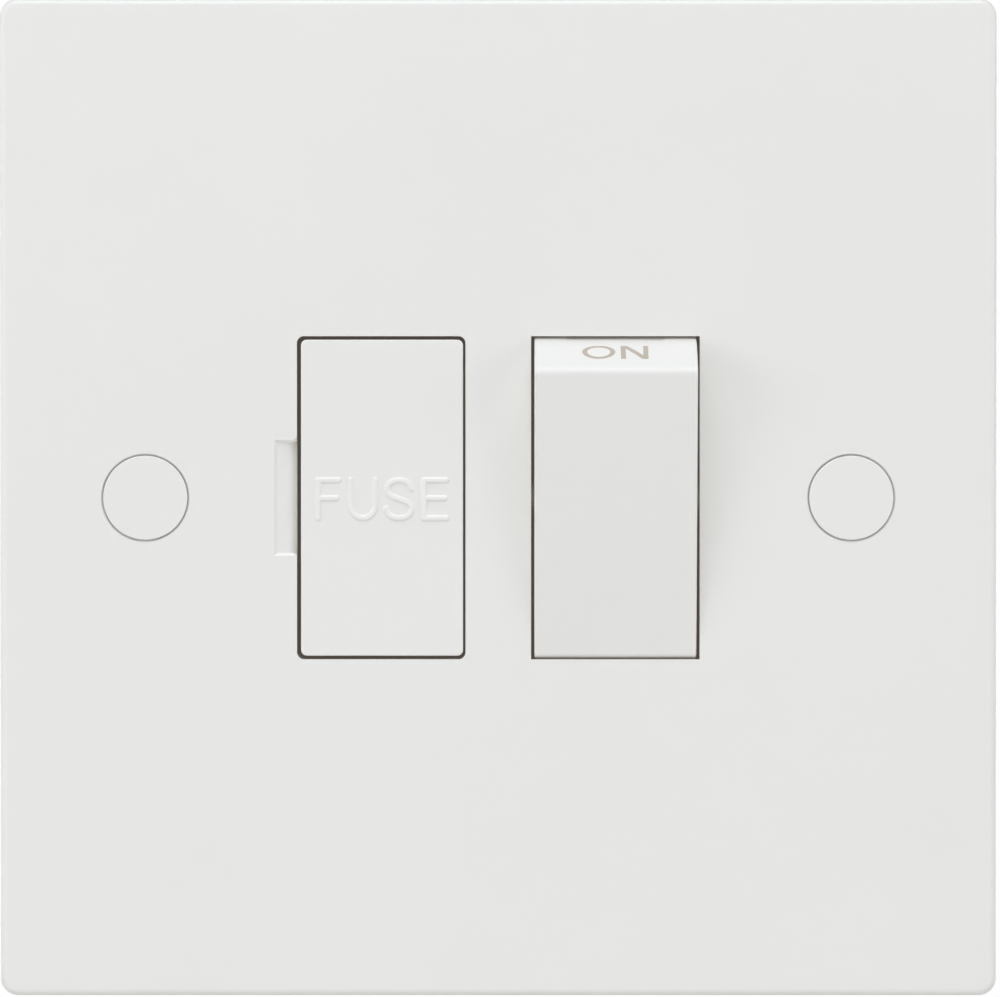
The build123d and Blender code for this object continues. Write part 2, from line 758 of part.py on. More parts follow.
def make_terminal_block(x, side):
    """Brass block with a blind wire bore and a tapped hole for its clamping screw."""
    bottom, top = sorted((side * block_inner_z, side * block_outer_z))
    half = block_width / 2
    brass = block(x - half, x + half, block_front_y, block_back_y, bottom, top)
    brass = chamfer(brass.edges().filter_by(Axis.Z), block_break)
    mouth = side * block_outer_z
    near, far = sorted((mouth - side * wire_bore_length, mouth))
    brass -= upright_slab(Pos(x, wire_y) * Circle(wire_bore_radius), near, far)
    tapping = clamp_screw_radius + clamp_screw_gap
    return brass - front_disc(x, side * clamp_screw_z, tapping, wire_y, block_back_y)


def make_terminal_screw(x, side):
    """Slotted clamping screw, backed out until its tip just leaves the wire bore."""
    z = side * clamp_screw_z
    tip = wire_y + wire_bore_radius + clamp_tip_gap
    head_front = block_back_y + clamp_travel
    head_end = head_front + clamp_head_height
    screw = front_disc(x, z, clamp_screw_radius, tip, head_front)
    screw += front_disc(x, z, clamp_head_radius, head_front, head_end)
    return screw - make_drive_slot(x, z, head_end, clamp_head_radius)


terminals = {
    "supply_live": (0, -1),
    "supply_neutral": (terminal_pitch, -1),
    "load_live": (-terminal_pitch, -1),
    "load_neutral": (terminal_pitch, 1),
    "earth_left": (-terminal_pitch, 1),
    "earth_right": (0, 1),
}
pieces = {
    "front_plate": make_front_plate(),
    "rear_base": make_rear_base(),
    "base_screws": make_base_screws(),
    "rocker": make_rocker(),
    "live_plunger": make_plunger(-pole_offset),
    "neutral_plunger": make_plunger(pole_offset),
    "live_spring": make_spring(-pole_offset),
    "neutral_spring": make_spring(pole_offset),
    "live_contact_bar": make_contact_bar(live_x),
    "neutral_contact_bar": make_contact_bar(neutral_x),
    "live_moving_contact": make_moving_contact(live_x),
    "neutral_moving_contact": make_moving_contact(neutral_x),
    "fixed_contacts": Compound(children=[make_fixed_contact(live_x), make_fixed_contact(neutral_x)]),
    "live_pivot_bracket": make_pivot_bracket(live_x, 0),
    "neutral_pivot_bracket": make_pivot_bracket(neutral_x, terminal_pitch),
    "live_contact_strip": make_live_contact_strip(),
    "neutral_contact_strip": make_neutral_contact_strip(),
    "load_live_strip": make_load_live_strip(),
    "earth_bridge": make_earth_bridge(),
    "upper_fuse_clip": make_fuse_clip(clip_offset),
    "lower_fuse_clip": make_fuse_clip(-clip_offset),
    "fuse_barrel": make_fuse_barrel(),
    "fuse_cap_upper": make_fuse_cap(1),
    "fuse_cap_lower": make_fuse_cap(-1),
    "fuse_carrier": make_fuse_carrier(),
    "screw_cap_left": make_screw_cap(-fixing_spacing / 2),
    "screw_cap_right": make_screw_cap(fixing_spacing / 2),
}
for name, (x, side) in terminals.items():
    pieces["terminal_" + name] = make_terminal_block(x, side)
    pieces["terminal_screw_" + name] = make_terminal_screw(x, side)

os.makedirs("parts", exist_ok=True)
for node, piece in pieces.items():
    export_step(piece, "parts/" + node + ".step")
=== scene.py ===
"""Dress a switched fused connection unit and light it for a straight front view.

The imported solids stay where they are. This file gives each of them its finish, adds the
raised word on the fuse carrier and the printed word on the rocker, and sets up a studio.
All sizes are in metres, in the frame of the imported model.
"""

import logging
from dataclasses import dataclass, field
from enum import Enum
from math import atan2, cos, hypot, pi, radians, sin
from typing import Protocol

import bmesh
import bpy
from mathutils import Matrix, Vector
from mathutils.bvhtree import BVHTree


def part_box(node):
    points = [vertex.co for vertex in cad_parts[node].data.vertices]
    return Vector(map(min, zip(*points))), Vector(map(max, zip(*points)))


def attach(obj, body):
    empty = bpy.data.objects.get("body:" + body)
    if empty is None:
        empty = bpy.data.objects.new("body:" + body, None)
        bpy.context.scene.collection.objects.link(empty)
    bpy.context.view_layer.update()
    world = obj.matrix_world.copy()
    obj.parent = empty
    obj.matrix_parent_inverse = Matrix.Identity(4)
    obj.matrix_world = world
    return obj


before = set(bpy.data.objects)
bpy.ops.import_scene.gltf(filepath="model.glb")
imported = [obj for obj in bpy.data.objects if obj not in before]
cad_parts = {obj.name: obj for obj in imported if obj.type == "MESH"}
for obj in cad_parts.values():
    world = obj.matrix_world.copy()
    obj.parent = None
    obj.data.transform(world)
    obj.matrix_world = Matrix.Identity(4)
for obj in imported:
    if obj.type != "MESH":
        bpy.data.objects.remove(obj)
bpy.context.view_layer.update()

log = logging.getLogger("fused_spur")

MM = 0.001

Colour = tuple[float, float, float]
Point = tuple[float, float]
Number = "Channel | float"


class Direction(Enum):
    """The ways in which a drawn or rolled metal keeps its fine streaks."""

    ACROSS = (1.0, 8.0, 8.0)
    UPRIGHT = (8.0, 8.0, 1.0)
    NONE = (1.0, 1.0, 1.0)


class Channel:
    """A number that varies over a surface and is used in ordinary arithmetic."""

    def __init__(self, graph: "Graph", socket: bpy.types.NodeSocket) -> None:
        """Keep the graph and the socket that gives the number."""
        self.graph = graph
        self.socket = socket

    def _math(self, operation: str, first: Number, second: Number) -> "Channel":
        """Add one Math node.

        Args:
            operation: Name of the Math node's operation.
            first: First operand.
            second: Second operand.

        Returns:
            The result as another channel.
        """
        sockets = {0: first, 1: second}
        node = self.graph.node("ShaderNodeMath", {"operation": operation}, sockets)
        return Channel(self.graph, node.outputs[0])

    def __add__(self, other: Number) -> "Channel":
        """Return self + other."""
        return self._math("ADD", self, other)

    def __radd__(self, other: Number) -> "Channel":
        """Return other + self."""
        return self._math("ADD", other, self)

    def __sub__(self, other: Number) -> "Channel":
        """Return self - other."""
        return self._math("SUBTRACT", self, other)

    def __rsub__(self, other: Number) -> "Channel":
        """Return other - self."""
        return self._math("SUBTRACT", other, self)

    def __mul__(self, other: Number) -> "Channel":
        """Return self * other."""
        return self._math("MULTIPLY", self, other)

    def __rmul__(self, other: Number) -> "Channel":
        """Return other * self."""
        return self._math("MULTIPLY", other, self)


class Graph:
    """The node tree of one material, with short ways to add what this file uses."""

    NOISE_ROUGHNESS = 0.55

    def __init__(self, name: str) -> None:
        """Start an empty material.

        Args:
            name: Name of the new material.
        """
        self.material = bpy.data.materials.new(name)
        self.material.use_nodes = True
        self.tree = self.material.node_tree
        self.tree.nodes.clear()
        self.place = self.node("ShaderNodeTexCoord", {}, {}).outputs["Object"]

    def node(
        self, kind: str, settings: dict[str, object], sockets: dict[object, object]
    ) -> bpy.types.Node:
        """Add one node of any type.

        Args:
            kind: The node's type.
            settings: Attributes set first. The key "stops" holds a ramp's places and colours.
            sockets: Values or links of the inputs, by name or number.

        Returns:
            The new node.
        """
        node = self.tree.nodes.new(kind)
        for name, value in settings.items():
            if name == "stops":
                self._set_stops(node.color_ramp, value)
            else:
                setattr(node, name, value)
        for key, value in sockets.items():
            self._feed(node.inputs[key], value)
        return node

    def _set_stops(self, ramp: bpy.types.ColorRamp, stops: list[tuple[float, Colour]]) -> None:
        """Give a ramp its stops.

        Args:
            ramp: The ramp of a new node, which has two stops.
            stops: Pairs of a place and a colour, at least two.
        """
        while len(ramp.elements) < len(stops):
            ramp.elements.new(1.0)
        for element, (place, colour) in zip(ramp.elements, stops):
            element.position = place
            element.color = (*colour, 1.0)

    def _feed(self, target: bpy.types.NodeSocket, value: object) -> None:
        """Link or set one input.

        Args:
            target: The input socket.
            value: A channel, a socket, a colour of three numbers or a plain value.
        """
        if isinstance(value, Channel):
            self.tree.links.new(value.socket, target)
        elif isinstance(value, bpy.types.NodeSocket):
            self.tree.links.new(value, target)
        elif target.type == "RGBA":
            target.default_value = (*value, 1.0)
        else:
            target.default_value = value

    def stretched(self, factors: Colour) -> bpy.types.NodeSocket:
        """Return the surface's place with each axis scaled by its own factor."""
        sockets = {0: self.place, 1: factors}
        return self.node("ShaderNodeVectorMath", {"operation": "MULTIPLY"}, sockets).outputs[0]

    def noise(self, grain: float, layers: float, factors: Colour = Direction.NONE.value) -> Channel:
        """Add a noise texture.

        Args:
            grain: Size of one patch in metres.
            layers: Number of finer layers.
            factors: Scale of each axis, to draw the patches out into streaks.

        Returns:
            The noise, about 0.3 to 0.7.
        """
        place = self.place if factors == Direction.NONE.value else self.stretched(factors)
        sockets = {"Vector": place, "Scale": 1.0 / grain, "Detail": layers,
                   "Roughness": self.NOISE_ROUGHNESS}
        return Channel(self, self.node("ShaderNodeTexNoise", {}, sockets).outputs[0])

    def mix(self, share: Number, first: object, second: object) -> bpy.types.NodeSocket:
        """Mix two colours.

        Args:
            share: How much of the second colour shows, from 0 to 1.
            first: A colour or a socket.
            second: A colour or a socket.

        Returns:
            The socket of the mixed colour.
        """
        sockets = {0: share, 6: first, 7: second}
        return self.node("ShaderNodeMix", {"data_type": "RGBA"}, sockets).outputs[2]

    def mask(self, source: Channel, low: float, high: float) -> Channel:
        """Turn a number into a share.

        Args:
            source: The number.
            low: The share is 0 under this.
            high: The share is 1 over this.

        Returns:
            The share, which rises evenly between low and high.
        """
        black, white = (0.0, 0.0, 0.0), (1.0, 1.0, 1.0)
        stops = [(low, black), (high, white)]
        ramp = self.node("ShaderNodeValToRGB", {"stops": stops}, {"Fac": source})
        return Channel(self, ramp.outputs[0])

    def bump(self, height: Channel, depth: float) -> bpy.types.NodeSocket:
        """Return a normal for a surface whose height runs over depth metres."""
        sockets = {"Height": height, "Distance": depth, "Strength": 1.0}
        return self.node("ShaderNodeBump", {}, sockets).outputs[0]

    def surface(self, sockets: dict[str, object]) -> bpy.types.Material:
        """Finish the material.

        Args:
            sockets: Inputs of the Principled shader, by name.

        Returns:
            The finished material.
        """
        shader = self.node("ShaderNodeBsdfPrincipled", {}, sockets)
        self.node("ShaderNodeOutputMaterial", {}, {"Surface": shader.outputs[0]})
        return self.material


class Finish(Protocol):
    """What every finish of this file offers."""

    name: str

    def material(self) -> bpy.types.Material:
        """Return the finish as a new material."""


@dataclass(frozen=True)
class Moulding:
    """A white thermoset or nylon moulding, with the faint cloudiness of the real resin."""

    name: str
    colour: Colour
    cloud: Colour
    roughness: float
    roughness_spread: float = 0.06
    cloud_size: float = 22 * MM
    cloud_layers: float = 3.0
    fine_layers: float = 2.0
    peel_size: float = 0.9 * MM
    peel_depth: float = 0.0022 * MM
    grain_size: float = 0.09 * MM
    grain_share: float = 0.2
    cloud_range: tuple[float, float] = (0.3, 0.7)
    refraction: float = 1.52

    def material(self) -> bpy.types.Material:
        """Build the finish: cloudy colour, uneven gloss and a fine orange peel.

        Returns:
            The new material.
        """
        graph = Graph(self.name)
        cloud = graph.noise(self.cloud_size, self.cloud_layers)
        grain = graph.noise(self.grain_size, self.fine_layers) * self.grain_share
        peel = graph.noise(self.peel_size, self.fine_layers)
        broad = 1.0 - self.grain_share
        share = graph.mask(cloud * broad + grain, *self.cloud_range)
        roughness = peel * self.roughness_spread + (self.roughness - self.roughness_spread / 2)
        return graph.surface({
            "Base Color": graph.mix(share, self.colour, self.cloud),
            "Roughness": roughness,
            "IOR": self.refraction,
            "Normal": graph.bump(peel * broad + grain, self.peel_depth),
        })


@dataclass(frozen=True)
class StripMetal:
    """Rolled or drawn metal, with streaks along its length and patches of tarnish."""

    name: str
    bright: Colour
    tarnish: Colour
    roughness: float
    direction: Direction = Direction.NONE
    streak_size: float = 0.35 * MM
    streak_depth: float = 0.003 * MM
    streak_share: float = 0.15
    streak_layers: float = 3.0
    patch_size: float = 3.5 * MM
    patch_layers: float = 4.0
    patch_range: tuple[float, float] = (0.42, 0.66)
    tarnish_share: float = 0.55
    tarnish_roughness: float = 0.16
    streak_roughness: float = 0.12

    def material(self) -> bpy.types.Material:
        """Build the finish: streaked metal, duller where it has tarnished.

        Returns:
            The new material.
        """
        graph = Graph(self.name)
        streak = graph.noise(self.streak_size, self.streak_layers, self.direction.value)
        patch = graph.mask(graph.noise(self.patch_size, self.patch_layers), *self.patch_range)
        share = patch * self.tarnish_share + streak * self.streak_share
        dulled = patch * self.tarnish_roughness + streak * self.streak_roughness
        return graph.surface({
            "Base Color": graph.mix(share, self.bright, self.tarnish),
            "Metallic": 1.0,
            "Roughness": dulled + self.roughness,
            "Normal": graph.bump(streak, self.streak_depth),
        })


@dataclass(frozen=True)
class PlatedMetal:
    """Plated metal, with the thin colour bands that zinc or nickel passivation leaves."""

    name: str
    cool: Colour
    warm: Colour
    roughness: float
    layers: float = 2.0
    band_size: float = 2.4 * MM
    band_range: tuple[float, float] = (0.35, 0.68)
    band_share: float = 0.7
    band_roughness: float = 0.05
    pit_size: float = 0.16 * MM
    pit_depth: float = 0.004 * MM
    pit_share: float = 0.2
    pit_roughness: float = 0.14

    def material(self) -> bpy.types.Material:
        """Build the finish: cool plating that warms in patches, finely pitted.

        Returns:
            The new material.
        """
        graph = Graph(self.name)
        band = graph.mask(graph.noise(self.band_size, self.layers), *self.band_range)
        pit = graph.noise(self.pit_size, self.layers)
        share = band * self.band_share + pit * self.pit_share
        dulled = pit * self.pit_roughness + band * self.band_roughness
        return graph.surface({
            "Base Color": graph.mix(share, self.cool, self.warm),
            "Metallic": 1.0,
            "Roughness": dulled + self.roughness,
            "Normal": graph.bump(pit, self.pit_depth),
        })


@dataclass(frozen=True)
class FiredCeramic:
    """The fuse's glazed tube: warm white with fine iron specks."""

    name: str
    glaze: Colour
    speck: Colour
    roughness: float
    speck_size: float = 0.22 * MM
    speck_layers: float = 1.0
    speck_range: tuple[float, float] = (0.66, 0.74)
    speck_share: float = 0.6
    ripple_size: float = 1.6 * MM
    ripple_layers: float = 2.0
    ripple_depth: float = 0.012 * MM
    ripple_roughness: float = 0.12

    def material(self) -> bpy.types.Material:
        """Build the finish: a speckled body under a slightly uneven glaze.

        Returns:
            The new material.
        """
        graph = Graph(self.name)
        speck = graph.mask(graph.noise(self.speck_size, self.speck_layers), *self.speck_range)
        ripple = graph.noise(self.ripple_size, self.ripple_layers)
        return graph.surface({
            "Base Color": graph.mix(speck * self.speck_share, self.glaze, self.speck),
            "Roughness": ripple * self.ripple_roughness + self.roughness,
            "Normal": graph.bump(ripple, self.ripple_depth),
        })


@dataclass(frozen=True)
class PrintedInk:
    """A thin pad print, a little uneven in cover."""

    name: str
    ink: Colour
    thin: Colour
    roughness: float
    dot_size: float = 0.12 * MM
    dot_layers: float = 2.0
    dot_range: tuple[float, float] = (0.35, 0.65)
    dot_share: float = 0.5
    dot_roughness: float = 0.1

    def material(self) -> bpy.types.Material:
        """Build the finish: ink that thins out in small dots.

        Returns:
            The new material.
        """
        graph = Graph(self.name)
        dots = graph.mask(graph.noise(self.dot_size, self.dot_layers), *self.dot_range)
        return graph.surface({
            "Base Color": graph.mix(dots * self.dot_share, self.ink, self.thin),
            "Roughness": dots * self.dot_roughness + self.roughness,
        })


PLATE = Moulding("plate_gloss", (0.822, 0.806, 0.775), (0.838, 0.820, 0.790), 0.30)
CAP = Moulding("cap_gloss", (0.822, 0.806, 0.775), (0.836, 0.819, 0.789), 0.33)
ROCKER = Moulding("rocker_gloss", (0.820, 0.804, 0.773), (0.834, 0.817, 0.787), 0.36)
CARRIER = Moulding("carrier_gloss", (0.824, 0.808, 0.777), (0.840, 0.822, 0.792), 0.32)
# The raised word is the carrier's own resin. Its colour is set a little lighter than the carrier's
# as a painted highlight on the letters' faces.
WORD_PAINTED_HIGHLIGHT = Moulding("word_painted_highlight", (0.834, 0.818, 0.787), (0.850, 0.832, 0.802), 0.36)
BASE = Moulding("base_satin", (0.755, 0.735, 0.694), (0.786, 0.764, 0.722), 0.46,
                peel_depth=0.005 * MM, cloud_size=9 * MM)
NYLON = Moulding("plunger_nylon", (0.770, 0.755, 0.700), (0.800, 0.788, 0.740), 0.38,
                 cloud_size=2.5 * MM, peel_size=0.4 * MM)
BRASS_BLOCK = StripMetal("brass_block", (0.830, 0.625, 0.300), (0.560, 0.380, 0.160), 0.22,
                         Direction.UPRIGHT)
BRASS_STRIP = StripMetal("brass_strip", (0.840, 0.640, 0.320), (0.600, 0.410, 0.180), 0.24,
                         Direction.ACROSS)
BRONZE_SPRING = StripMetal("bronze_spring", (0.820, 0.560, 0.370), (0.480, 0.290, 0.170), 0.26,
                           Direction.UPRIGHT)
SILVER_BUTTON = StripMetal("silver_button", (0.900, 0.885, 0.860), (0.560, 0.520, 0.450), 0.20,
                           patch_size=0.9 * MM, tarnish_share=0.35)
ZINC_STEEL = PlatedMetal("zinc_steel", (0.640, 0.665, 0.700), (0.760, 0.730, 0.640), 0.20)
SPRING_STEEL = PlatedMetal("spring_steel", (0.560, 0.570, 0.590), (0.660, 0.630, 0.590), 0.24)
NICKEL_CAP = PlatedMetal("nickel_cap", (0.730, 0.715, 0.690), (0.800, 0.770, 0.710), 0.12,
                         pit_depth=0.0015 * MM)
CERAMIC = FiredCeramic("fired_ceramic", (0.840, 0.820, 0.770), (0.420, 0.330, 0.250), 0.30)
INK = PrintedInk("tan_ink", (0.452, 0.385, 0.321), (0.534, 0.465, 0.399), 0.42)


def dress(finish: Finish, *names: str) -> None:
    """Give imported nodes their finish.

    Args:
        finish: A finish of this file.
        names: Names of the nodes.
    """
    material = finish.material()
    for name in names:
        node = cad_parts[name]
        for slot in node.material_slots:
            slot.material = material
        log.info("%s: %s, %d faces", name, finish.name, len(node.data.polygons))


def add_piece(name: str, mesh: bmesh.types.BMesh, finish: Finish, body: str) -> None:
    """Turn a finished mesh into a piece that rides on a body.

    Args:
        name: Name of the piece.
        mesh: The mesh, already in the row frame.
        finish: A finish of this file.
        body: The body that carries the piece.
    """
    bmesh.ops.recalc_face_normals(mesh, faces=mesh.faces)
    data = bpy.data.meshes.new(name)
    mesh.to_mesh(data)
    mesh.free()
    data.materials.append(finish.material())
    piece = bpy.data.objects.new(name, data)
    bpy.context.scene.collection.objects.link(piece)
    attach(piece, body)
    log.info("%s: %s, %d faces", name, finish.name, len(data.polygons))


def curve_through(points: list[Point], steps: int) -> list[Point]:
    """Run a Catmull-Rom line through given points.

    Args:
        points: The points, in order.
        steps: Short runs between two points.

    Returns:
        The points of the smooth line.
    """
    line = []
    ends = [points[0], *points, points[-1]]
    for a, b, c, d in zip(ends, ends[1:], ends[2:], ends[3:]):
        for step in range(steps):
            t = step / steps
            line.append(tuple(
                0.5 * (2 * q + (r - p) * t + (2 * p - 5 * q + 4 * r - s) * t * t
                       + (3 * q - p - 3 * r + s) * t ** 3)
                for p, q, r, s in zip(a, b, c, d)
            ))
    return [*line, points[-1]]


def distance_to_run(x: float, z: float, a: Point, b: Point) -> float:
    """Measure from a point to a straight run.

    Args:
        x: The point's first coordinate.
        z: The point's second coordinate.
        a: Start of the run.
        b: End of the run.

    Returns:
        The shortest distance.
    """
    run_x, run_z = b[0] - a[0], b[1] - a[1]
    along = ((x - a[0]) * run_x + (z - a[1]) * run_z) / (run_x * run_x + run_z * run_z)
    along = max(0.0, min(1.0, along))
    return hypot(x - a[0] - along * run_x, z - a[1] - along * run_z)


@dataclass
class RaisedWord:
    """The word FUSE, raised in round strokes on the carrier's face."""

    cap_height: float = 3.25 * MM
    stroke: float = 0.59 * MM
    rise: float = 0.15 * MM
    shoulder: float = 0.18 * MM
    root: float = 0.06 * MM
    cell: float = 0.055 * MM
    starts: tuple[float, ...] = (0.0, 2.77 * MM, 5.83 * MM, 9.03 * MM)
    centre_shift: float = 0.02 * MM
    centre_drop: float = 0.12 * MM
    letter_f_width: float = 1.72 * MM
    letter_u_width: float = 2.10 * MM
    letter_s_width: float = 2.10 * MM
    letter_e_width: float = 1.90 * MM
    arm_level: float = 0.527
    arm_cut: float = 0.25
    arc_steps: int = 5
    bowl_steps: int = 12
    margin_cells: float = 1.5

    def strokes(self) -> list[list[Point]]:
        """Lay out the centre lines of the four letters.

        Returns:
            One list of points for each stroke, from the word's lower left corner.
        """
        high, arm = self.cap_height, self.cap_height * self.arm_level
        f, u, s, e = self.starts
        f_end, e_end = f + self.letter_f_width, e + self.letter_e_width
        bowl = self.letter_u_width / 2
        turn = [pi + pi * k / self.bowl_steps for k in range(self.bowl_steps + 1)]
        around = [(u + bowl + bowl * cos(a), bowl + bowl * sin(a)) for a in turn]
        wide = self.letter_s_width
        s_points = [(1.00, 0.76), (0.86, 0.94), (0.50, 1.00), (0.16, 0.93), (0.03, 0.76),
                    (0.16, 0.60), (0.50, 0.51), (0.88, 0.41), (1.02, 0.24), (0.86, 0.06),
                    (0.48, 0.00), (0.13, 0.07), (-0.01, 0.26)]
        snake = [(s + x * wide, z * high) for x, z in s_points]
        return [
            [(f, 0.0), (f, high), (f_end, high)],
            [(f, arm), (f_end - self.stroke * self.arm_cut, arm)],
            [(u, high), *around, (u + 2 * bowl, high)],
            curve_through(snake, self.arc_steps),
            [(e_end, high), (e, high), (e, 0.0), (e_end, 0.0)],
            [(e, arm), (e_end - self.stroke * self.arm_cut, arm)],
        ]

    def height(self, distance: float) -> float:
        """Return how far the surface stands off the face at a distance from the centre line."""
        share = max(0.0, min(1.0, (self.stroke / 2 - distance) / self.shoulder))
        return self.rise * share * share * (3 - 2 * share)

    def build(self) -> None:
        """Raise the word as one closed skin, rooted in the carrier's face."""
        low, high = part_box("fuse_carrier")
        runs = [run for line in self.strokes() for run in zip(line, line[1:])]
        width = self.starts[-1] + self.letter_e_width
        left = (low.x + high.x) / 2 - width / 2 + self.centre_shift
        bottom = -self.cap_height / 2 - self.centre_drop
        columns = int((width + 2 * self.stroke) / self.cell)
        rows = int((self.cap_height + 2 * self.stroke) / self.cell)
        reach = self.stroke / 2 + self.margin_cells * self.cell
        mesh = bmesh.new()
        grid = {}
        for column in range(columns + 1):
            x = column * self.cell - self.stroke
            near = [run for run in runs if self._touches(x, run, reach)]
            for row in range(rows + 1):
                z = row * self.cell - self.stroke
                gap = min((distance_to_run(x, z, *run) for run in near), default=reach)
                if gap < reach:
                    front = low.y - self.height(gap) + self.sunk(gap)
                    place = (left + x, front, bottom + z)
                    grid[column, row] = mesh.verts.new(place)
        for column, row in list(grid):
            corners = [(column, row), (column + 1, row), (column + 1, row + 1), (column, row + 1)]
            if all(corner in grid for corner in corners):
                mesh.faces.new([grid[corner] for corner in corners])
        self._close(mesh, low.y + self.root)
        # The word's finish is lighter than the carrier's, as a painted highlight.
        add_piece("raised_word", mesh, WORD_PAINTED_HIGHLIGHT, "fuse_carrier")

    def sunk(self, distance: float) -> float:
        """Return how far the skin lies under the face, which hides its border."""
        return self.root / 3 if distance >= self.stroke / 2 else 0.0

    @staticmethod
    def _touches(x: float, run: tuple[Point, Point], reach: float) -> bool:
        """Tell whether a run comes within reach of a column of the grid."""
        return min(run[0][0], run[1][0]) - reach < x < max(run[0][0], run[1][0]) + reach

    @staticmethod
    def _close(mesh: bmesh.types.BMesh, depth: float) -> None:
        """Give the skin walls and a floor inside the carrier.

        Args:
            mesh: The open skin.
            depth: Where the floor lies along Y.
        """
        loose = [vert for vert in mesh.verts if not vert.link_faces]
        bmesh.ops.delete(mesh, geom=loose, context="VERTS")
        for face in mesh.faces:
            face.smooth = True
        made = bmesh.ops.extrude_face_region(mesh, geom=list(mesh.faces), use_keep_orig=True)
        for item in made["geom"]:
            if isinstance(item, bmesh.types.BMVert):
                item.co.y = depth


@dataclass
class PrintedWord:
    """The word ON, printed across the rocker's upper end."""

    pivot_depth: float = 3.7 * MM
    tilt: float = radians(12.0)
    top_angle: float = radians(10.5)
    bottom_angle: float = radians(20.2)
    line: float = 0.42 * MM
    thin_line: float = 0.30 * MM
    letter_o_width: float = 2.80 * MM
    letter_n_width: float = 2.33 * MM
    letter_gap: float = 0.48 * MM
    film: float = 0.012 * MM
    thin_film: float = 0.008 * MM
    shift: float = -0.06 * MM
    slant_weight: float = 1.25
    slant_overlap: float = 0.8
    ring_steps: int = 64
    bar_steps: int = 10
    ray_start: float = 1.5
    skin: BVHTree = field(init=False)
    pivot: Vector = field(init=False)
    middle: float = field(init=False)
    radius: float = field(init=False)

    def __post_init__(self) -> None:
        """Find the rocker's surface and the line that it turns about."""
        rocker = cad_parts["rocker"]
        self.skin = BVHTree.FromPolygons(
            [vert.co for vert in rocker.data.vertices],
            [list(face.vertices) for face in rocker.data.polygons],
        )
        low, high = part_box("rocker")
        self.middle = (low.x + high.x) / 2 + self.shift
        self.radius = high.z
        self.pivot = Vector((0.0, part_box("front_plate")[0].y + self.pivot_depth, 0.0))

    def on_skin(self, x: float, share: float, lift: float) -> Vector:
        """Find a place on the rocker's round end.

        Args:
            x: Distance along the rocker's width from the word's left end.
            share: Height within the word, from 0 at its foot to 1 at its top.
            lift: Distance off the surface.

        Returns:
            The place in the row frame.
        """
        angle = self.bottom_angle + (self.top_angle - self.bottom_angle) * share + self.tilt
        outward = Vector((0.0, -sin(angle), cos(angle)))
        side = Vector((self.left + x, 0.0, 0.0))
        start = self.pivot + outward * self.radius * self.ray_start + side
        hit = self.skin.ray_cast(start, -outward)[0]
        return hit + outward * lift

    @property
    def left(self) -> float:
        """Return where the word starts, so that it is centred on the rocker."""
        return self.middle - (self.letter_o_width + self.letter_gap + self.letter_n_width) / 2

    @property
    def rise(self) -> float:
        """Return the height of the letters, measured along the surface."""
        return self.radius * (self.bottom_angle - self.top_angle)

    def rib(
        self, mesh: bmesh.types.BMesh, pairs: list[tuple[Point, Point]], closed: bool, film: float
    ) -> None:
        """Lay a thin ribbon of ink between two rows of points.

        Args:
            mesh: The mesh that receives the ribbon.
            pairs: For each step along the ribbon its two edge points, each as x and share.
            closed: True if the ribbon joins up with its start.
            film: How far the ink stands off the surface.
        """
        rings = []
        for first, second in pairs:
            under = [mesh.verts.new(self.on_skin(*point, -film)) for point in (first, second)]
            over = [mesh.verts.new(self.on_skin(*point, film)) for point in (second, first)]
            rings.append([*under, *over])
        following = rings[1:] + rings[:1] if closed else rings[1:]
        for ring, after in zip(rings, following):
            shifted = (ring[1:] + ring[:1], after[1:] + after[:1])
            for quad in zip(ring, *shifted, after):
                mesh.faces.new(quad)
        if not closed:
            mesh.faces.new(rings[0])
            mesh.faces.new(rings[-1][::-1])

    def letter_o(self, mesh: bmesh.types.BMesh) -> None:
        """Lay the O, a ring that is wider at its sides than at its top and foot.

        Args:
            mesh: The mesh that receives the letter.
        """
        half, tall = self.letter_o_width / 2, self.rise / 2
        pairs = []
        for step in range(self.ring_steps):
            x, z = cos(2 * pi * step / self.ring_steps), sin(2 * pi * step / self.ring_steps)
            outer = (half + half * x, 0.5 + 0.5 * z)
            inner = (half + (half - self.line) * x, 0.5 + (tall - self.thin_line) / tall / 2 * z)
            pairs.append((outer, inner))
        self.rib(mesh, pairs, True, self.film)

    def letter_n(self, mesh: bmesh.types.BMesh) -> None:
        """Lay the N, two stems and a slanting bar.

        Args:
            mesh: The mesh that receives the letter.
        """
        start = self.letter_o_width + self.letter_gap
        end = start + self.letter_n_width
        shares = [step / self.bar_steps for step in range(self.bar_steps + 1)]
        for left in (start, end - self.line):
            stem = [((left, share), (left + self.line, share)) for share in shares]
            self.rib(mesh, stem, False, self.film)
        bar = self.line * self.slant_weight
        overlap = bar * self.slant_overlap
        slant = end - start - 2 * self.line + 2 * overlap - bar
        pairs = []
        for share in shares:
            left = start + self.line - overlap + slant * (1 - share)
            pairs.append(((left, share), (left + bar, share)))
        self.rib(mesh, pairs, False, self.thin_film)

    def build(self) -> None:
        """Print the word on the rocker."""
        mesh = bmesh.new()
        self.letter_o(mesh)
        self.letter_n(mesh)
        add_piece("printed_word", mesh, INK, "rocker")


@dataclass
class Enclosure:
    """The front plate, its screw caps and the base behind it."""

    caps: tuple[str, ...] = ("screw_cap_left", "screw_cap_right")

    def build(self) -> None:
        """Dress the white mouldings and the screws that hold them together."""
        dress(PLATE, "front_plate")
        dress(CAP, *self.caps)
        dress(BASE, "rear_base")
        dress(ZINC_STEEL, "base_screws")


